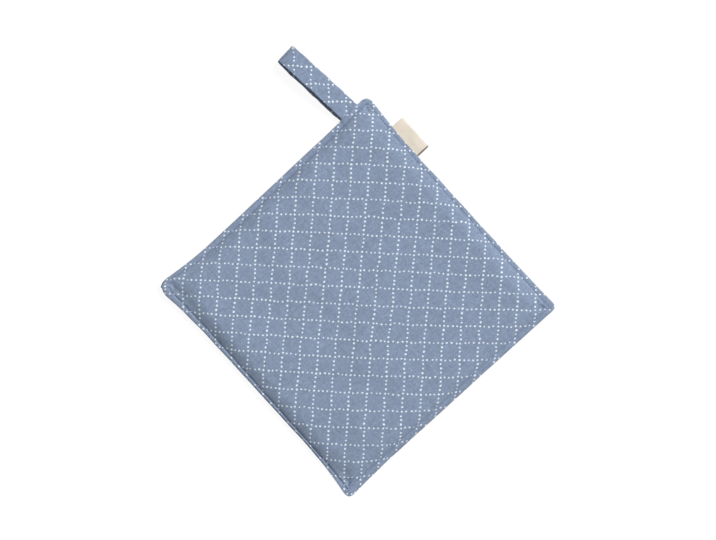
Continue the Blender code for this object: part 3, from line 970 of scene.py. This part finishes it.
class Worked:
    """A number that a shader works out at each place. Arithmetic on it adds maths nodes to its tree."""

    def __init__(self, tree, socket):
        self.tree, self.socket = tree, socket

    def maths(self, operation, *others):
        node = put(self.tree, "ShaderNodeMath", operation=operation)
        for socket, value in zip(node.inputs, (self, *others)):
            feed(self.tree, socket, value)
        return Worked(self.tree, node.outputs[0])

    def __add__(self, other):
        return self.maths("ADD", other)

    def __sub__(self, other):
        return self.maths("SUBTRACT", other)

    def __mul__(self, other):
        return self.maths("MULTIPLY", other)

    def __truediv__(self, other):
        return self.maths("DIVIDE", other)

    def scaled(self, factor, offset):
        return self.maths("MULTIPLY_ADD", factor, offset)


def feed(tree, socket, value):
    """Links a socket to an output or a worked number, or sets its own value."""
    if isinstance(value, Worked):
        value = value.socket
    if isinstance(value, bpy.types.NodeSocket):
        tree.links.new(value, socket)
    else:
        socket.default_value = value


def blended(tree, share, first, second):
    """A colour between two, by a share."""
    node = put(tree, "ShaderNodeMix", data_type="RGBA")
    feed(tree, node.inputs["Factor"], share)
    for number, colour in zip(MIX_COLOURS, (first, second)):
        feed(tree, node.inputs[number], colour)
    return node.outputs[MIX_RESULT]


def noise(tree, place, scale, detail=2.0):
    """A noise texture's node at a place."""
    node = put(tree, "ShaderNodeTexNoise")
    feed(tree, node.inputs["Vector"], place)
    node.inputs["Scale"].default_value = scale
    node.inputs["Detail"].default_value = detail
    return node


def grain(tree, place, scale, detail=2.0):
    """A noise texture's number at a place."""
    return Worked(tree, noise(tree, place, scale, detail).outputs["Fac"])


def chances(tree, *values):
    """The node of random numbers that belong to two or three whole numbers."""
    node = put(tree, "ShaderNodeTexWhiteNoise", noise_dimensions=f"{len(values)}D")
    feed(tree, node.inputs["Vector"], vector_of(tree, *values))
    return node


def parts_of(tree, vector):
    """A vector's three numbers."""
    node = put(tree, "ShaderNodeSeparateXYZ")
    feed(tree, node.inputs[0], vector)
    return [Worked(tree, output) for output in node.outputs]


def vector_of(tree, *values):
    """A vector from its numbers."""
    node = put(tree, "ShaderNodeCombineXYZ")
    for socket, value in zip(node.inputs, values):
        feed(tree, socket, value)
    return node.outputs[0]


def new_group(name, inputs, outputs):
    """An empty shader node group with its sockets, and its input and output nodes."""
    tree = bpy.data.node_groups.new(name, "ShaderNodeTree")
    for label, kind in inputs:
        tree.interface.new_socket(label, in_out="INPUT", socket_type=kind)
    for label, kind in outputs:
        tree.interface.new_socket(label, in_out="OUTPUT", socket_type=kind)
    return tree, put(tree, "NodeGroupInput"), put(tree, "NodeGroupOutput")


def make_weave_group():
    """Plain weave: each thread is a half sine across, and the warp is on top in every second cell.

    Height is the greater of warp and weft. Tone is a random shade for each thread, where it is on top, and
    Fleck one for each short length of it. Slub is the mean of two noises drawn out along the threads, one
    each way.
    """
    sockets = [("Cloth", "NodeSocketVector"), ("Pitch", "NodeSocketFloat")]
    results = [(label, "NodeSocketFloat") for label in ("Height", "Tone", "Fleck", "Slub")]
    tree, inside, outside = new_group("plain_weave", sockets, results)
    cloth, pitch = inside.outputs["Cloth"], inside.outputs["Pitch"]
    x, y, _ = parts_of(tree, cloth)
    bend = (grain(tree, cloth, THREAD_BENDS_SCALE) - 0.5) * THREAD_BENDS
    warp, weft = x / pitch + bend, y / pitch - bend
    sine_warp, sine_weft = (warp * math.pi).maths("SINE"), (weft * math.pi).maths("SINE")
    over = sine_warp * sine_weft
    warp_height = sine_warp.maths("ABSOLUTE") * over.scaled(CRIMP, 1 - CRIMP)
    weft_height = sine_weft.maths("ABSOLUTE") * over.scaled(-CRIMP, 1 - CRIMP)
    shades, flecks = [], []
    for number, along, seed in ((warp, weft, 0.5), (weft, warp, 7.5)):
        thread = number.maths("FLOOR")
        shade = Worked(tree, chances(tree, thread, seed).outputs["Value"])
        length = along.scaled(1 / FLECK_CROSSINGS, shade).maths("FLOOR")
        shades.append(shade)
        flecks.append(Worked(tree, chances(tree, thread, length, seed).outputs["Value"]))
    on_top = warp_height.maths("GREATER_THAN", weft_height)
    under = on_top.scaled(-1.0, 1.0)
    streaks = [
        grain(tree, vector_of(tree, x * fast, y * slow, 0.0), 1.0)
        for fast, slow in ((SLUB_ACROSS, SLUB_ALONG), (SLUB_ALONG, SLUB_ACROSS))
    ]
    feed(tree, outside.inputs["Height"], warp_height.maths("MAXIMUM", weft_height))
    feed(tree, outside.inputs["Tone"], on_top * shades[0] + under * shades[1])
    feed(tree, outside.inputs["Fleck"], on_top * flecks[0] + under * flecks[1])
    feed(tree, outside.inputs["Slub"], (streaks[0] + streaks[1]) * 0.5)
    return tree


def dots_on_lines(tree, across, along, radius, skip_crossings, seed):
    """Mask of dots on one set of lines: whole numbers of across are lines, quarters of along are dots.

    The lines bend as hand-drawn ones do. Each dot is moved and sized by random numbers of its own, and its
    rim is drawn softly.
    """
    line = across.maths("ROUND")
    drawn = noise(tree, vector_of(tree, line * LINES_APART, along, seed), 1.0, 1.0)
    bends = parts_of(tree, drawn.outputs["Color"])
    across = across + (bends[0] - 0.5) * (LINE_BENDS / LINE_PITCH)
    along = along + (bends[1] - 0.5) * (LINE_BENDS / LINE_PITCH)
    step = (along * float(DOTS_PER_CELL)).maths("ROUND")
    chance = parts_of(tree, chances(tree, line, step, seed).outputs["Color"])
    off_line = (across - line) * LINE_PITCH - (chance[0] - 0.5) * (2 * DOT_WANDER)
    off_step = (along - step / float(DOTS_PER_CELL)) * LINE_PITCH - (chance[1] - 0.5) * (2 * DOT_WANDER)
    distance = (off_line.maths("POWER", 2.0) + off_step.maths("POWER", 2.0)).maths("SQRT")
    edge = put(tree, "ShaderNodeMapRange", interpolation_type="SMOOTHSTEP")
    feed(tree, edge.inputs["Value"], chance[2].scaled(*DOT_SIZES) * radius - distance)
    edge.inputs["From Min"].default_value = -DOT_RIM
    edge.inputs["From Max"].default_value = DOT_RIM
    mask = Worked(tree, edge.outputs["Result"])
    if skip_crossings:
        mask = mask * step.maths("FLOORED_MODULO", float(DOTS_PER_CELL)).maths("GREATER_THAN", 0.5)
    return mask


def make_print_group():
    """Dotted lattice: bold dots on one set of lines and their crossings, finer ones on the other set."""
    sockets = [("Print", "NodeSocketVector"), ("Cloth", "NodeSocketVector")]
    tree, inside, outside = new_group("dotted_lattice", sockets, [("Dots", "NodeSocketFloat")])
    bold, fine, _ = parts_of(tree, inside.outputs["Print"])
    ragged = (grain(tree, inside.outputs["Cloth"], DOT_RAGGED_SCALE, 1.0) - 0.5) * DOT_RAGGED
    bold_dots = dots_on_lines(tree, bold, fine, ragged + BOLD_DOT, False, 1.0)
    fine_dots = dots_on_lines(tree, fine, bold, ragged + FINE_DOT, True, 2.0)
    feed(tree, outside.inputs["Dots"], bold_dots.maths("MAXIMUM", fine_dots))
    return tree


def new_material(name, **values):
    """A material with its Principled shader's even values set on its own sockets."""
    material = bpy.data.materials.new(name)
    material.use_nodes = True
    shader = material.node_tree.nodes["Principled BSDF"]
    for label, value in values.items():
        shader.inputs[label.replace("_", " ")].default_value = value
    return material, material.node_tree, shader


def uv_place(tree, label):
    """A UV map's place."""
    return put(tree, "ShaderNodeUVMap", uv_map=label).outputs["UV"]


def use_group(tree, group, **inputs):
    """A group placed in a material with its inputs fed: its results by name."""
    node = put(tree, "ShaderNodeGroup", node_tree=group)
    for label, value in inputs.items():
        feed(tree, node.inputs[label], value)
    return {output.name: Worked(tree, output) for output in node.outputs}


def raise_surface(tree, shader, height, distance, strength):
    """Feeds the shader's normal from a height."""
    bump = put(tree, "ShaderNodeBump")
    bump.inputs["Strength"].default_value = strength
    bump.inputs["Distance"].default_value = distance
    feed(tree, bump.inputs["Height"], height)
    tree.links.new(bump.outputs["Normal"], shader.inputs["Normal"])


def shaded(tree, colour, amount):
    """A colour made lighter or darker by a factor round one."""
    node = put(tree, "ShaderNodeVectorMath", operation="SCALE")
    feed(tree, node.inputs[0], colour)
    feed(tree, node.inputs["Scale"], amount)
    return node.outputs[0]


def make_printed_cotton(weave, lattice):
    """Dusty blue plain-woven cotton with white printed dots that sit on top of the threads. Its colour and
    the ink's are darkened by painted shade where the weave lies low.
    """
    material, tree, shader = new_material("printed_cotton", Sheen_Weight=0.18, Sheen_Roughness=0.5)
    cloth, lines = uv_place(tree, "cloth"), uv_place(tree, "print")
    woven = use_group(tree, weave, Cloth=cloth, Pitch=COTTON_PITCH)
    dots = use_group(tree, lattice, Print=lines, Cloth=cloth)["Dots"]
    place = put(tree, "ShaderNodeTexCoord").outputs["Object"]
    mottle = grain(tree, place, COTTON_MOTTLE_SCALE, 3.0).scaled(*COTTON_MOTTLE)
    threads = woven["Tone"].scaled(*COTTON_THREADS)
    slubs = woven["Slub"].scaled(*COTTON_SLUBS)
    flecks = woven["Fleck"].scaled(*COTTON_FLECKS)
    # Painted shade: depth darkens the cloth's colour and the ink's where the weave lies low, in the hollows
    # between threads.
    depth = woven["Height"].scaled(*COTTON_HOLLOW_SHADE)
    base = shaded(tree, CLOTH_BLUE[:3], mottle * threads * flecks * (slubs * depth))
    ink = shaded(tree, DOT_WHITE[:3], depth)
    feed(tree, shader.inputs["Base Color"], blended(tree, dots, base, ink))
    fuzz = grain(tree, place, FUZZ_SCALE) * FUZZ_RAISES
    raise_surface(tree, shader, woven["Height"] + fuzz + dots * INK_RAISES, *COTTON_RELIEF)
    feed(tree, shader.inputs["Roughness"], dots.scaled(*COTTON_ROUGHNESS))
    return material


def make_cream_tape(weave):
    """Cream cotton tape, closely woven, with one darker sealed cut edge. Its colour is darkened by painted
    shade where the weave lies low.
    """
    material, tree, shader = new_material(
        "cream_tape", Roughness=0.82, Sheen_Weight=0.15, Sheen_Roughness=0.5
    )
    woven = use_group(tree, weave, Cloth=uv_place(tree, "cloth"), Pitch=TAPE_PITCH)
    place = put(tree, "ShaderNodeTexCoord").outputs["Object"]
    mottle = grain(tree, place, TAPE_MOTTLE_SCALE, 3.0).scaled(*TAPE_MOTTLE)
    # Painted shade: depth darkens the tape's colour where the weave lies low, in the hollows between threads.
    depth = woven["Height"].scaled(*TAPE_HOLLOW_SHADE)
    threads = woven["Tone"].scaled(*TAPE_THREADS)
    tape = shaded(tree, TAPE_CREAM[:3], mottle * depth * threads)
    ragged = grain(tree, place, CUT_RAGGED_SCALE).scaled(CUT_RAGGED, LABEL_CUT_Y - CUT_RAGGED / 2)
    cut = parts_of(tree, place)[1].maths("LESS_THAN", ragged)
    feed(tree, shader.inputs["Base Color"], blended(tree, cut, tape, TAPE_EDGE))
    raise_surface(tree, shader, woven["Height"], *TAPE_RELIEF)
    return material


def make_thread():
    """Blue sewing thread, with the slanting ridges of its twist, the colour darkened by painted shade in the
    grooves between them.
    """
    material, tree, shader = new_material("blue_thread", Roughness=0.6, Sheen_Weight=0.2)
    x, y, _ = parts_of(tree, uv_place(tree, "cloth"))
    slanted = x * (2 * math.pi / TWIST_PITCH) + y * (1 / STITCH_RADIUS)
    twist = slanted.maths("SINE").scaled(0.5, 0.5)
    # Painted shade: the colour is darkened in the grooves of the twist.
    feed(tree, shader.inputs["Base Color"], shaded(tree, THREAD_BLUE[:3], twist.scaled(*TWIST_HOLLOW_SHADE)))
    raise_surface(tree, shader, twist, *TWIST_RELIEF)
    return material


def finish_piece(piece, material, node=None):
    """Gives a piece its material and its place in the frame."""
    piece.data.materials.append(material)
    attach(piece, "root")
    if node:
        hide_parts(node)


def make_floor():
    """A white table top. The camera sees it evenly bright, and it lights the holder as a paler grey."""
    bpy.ops.mesh.primitive_plane_add(size=4.0, location=(0.0, 0.0, -FLOOR_CLEAR))
    floor = bpy.context.object
    floor.name = "floor"
    material, tree, shader = new_material("white_table", Roughness=0.9, Emission_Strength=1.0)
    seen = put(tree, "ShaderNodeLightPath").outputs["Is Camera Ray"]
    feed(tree, shader.inputs["Base Color"], blended(tree, seen, FLOOR_BOUNCE, FLOOR_SEEN))
    feed(tree, shader.inputs["Emission Color"], blended(tree, seen, (0.0, 0.0, 0.0, 1.0), FLOOR_GLOW))
    floor.data.materials.append(material)


def make_sky():
    """Pale studio light that is strongest overhead and weak at table height. The camera sees it white."""
    world = bpy.data.worlds.new("studio")
    world.use_nodes = True
    tree = world.node_tree
    height = parts_of(tree, put(tree, "ShaderNodeTexCoord").outputs["Generated"])[2]
    level = height.maths("MAXIMUM", 0.0).scaled(SKY_OVERHEAD, SKY_LOW)
    seen = put(tree, "ShaderNodeLightPath").outputs["Is Camera Ray"]
    glow = blended(tree, seen, vector_of(tree, level, level, level), (1.0, 1.0, 1.0, 1.0))
    feed(tree, tree.nodes["Background"].inputs["Color"], glow)
    bpy.context.scene.world = world


def make_lights():
    """A broad key light from the label's side, well above, and the sky."""
    sun = bpy.data.lights.new("key", "SUN")
    sun.energy = math.pi * KEY_STRENGTH
    sun.angle = KEY_WIDTH
    lamp = bpy.data.objects.new("key", sun)
    lamp.rotation_euler = Vector(KEY_TOWARDS).to_track_quat("Z", "Y").to_euler()
    bpy.context.scene.collection.objects.link(lamp)
    make_sky()
    bpy.context.scene.view_settings.view_transform = "Standard"


def make_camera():
    """Straight above, turned as in the photograph, framed by its scale at the height of the seam."""
    right = Vector((math.cos(TURN), -math.sin(TURN), 0.0))
    up = Vector((math.sin(TURN), math.cos(TURN), 0.0))
    off_x = (FRAME_PIXELS[0] / 2 - PAD_MIDDLE_PIXEL[0]) * METRES_PER_PIXEL
    off_y = (PAD_MIDDLE_PIXEL[1] - FRAME_PIXELS[1] / 2) * METRES_PER_PIXEL
    target = right * off_x + up * off_y
    data = bpy.data.cameras.new("camera")
    data.sensor_width = SENSOR * 1000
    data.lens = 1000 * SENSOR * LENS_DISTANCE / (FRAME_PIXELS[0] * METRES_PER_PIXEL)
    data.clip_start = 0.01
    camera = bpy.data.objects.new("camera", data)
    turned = Matrix((right, up, Vector((0.0, 0.0, 1.0)))).transposed()
    eye = target + Vector((0, 0, SEAM_HEIGHT + LENS_DISTANCE))
    camera.matrix_world = Matrix.Translation(eye) @ turned.to_4x4()
    bpy.context.scene.collection.objects.link(camera)
    bpy.context.scene.camera = camera


def main():
    make_camera()
    make_lights()
    make_floor()
    weave, lattice = make_weave_group(), make_print_group()
    cotton, tape, thread = make_printed_cotton(weave, lattice), make_cream_tape(weave), make_thread()

    square, front, back = make_square()
    finish_piece(square, cotton, "padded_square")

    strap, strap_length = make_strap()
    finish_piece(strap, cotton, "hanging_loop")

    label, label_length = make_label()
    finish_piece(label, tape, "side_label")

    for name, points, facing in (("topstitch_front", front, 1), ("topstitch_back", back, -1)):
        finish_piece(make_stitches(name, points, facing), thread)


main()
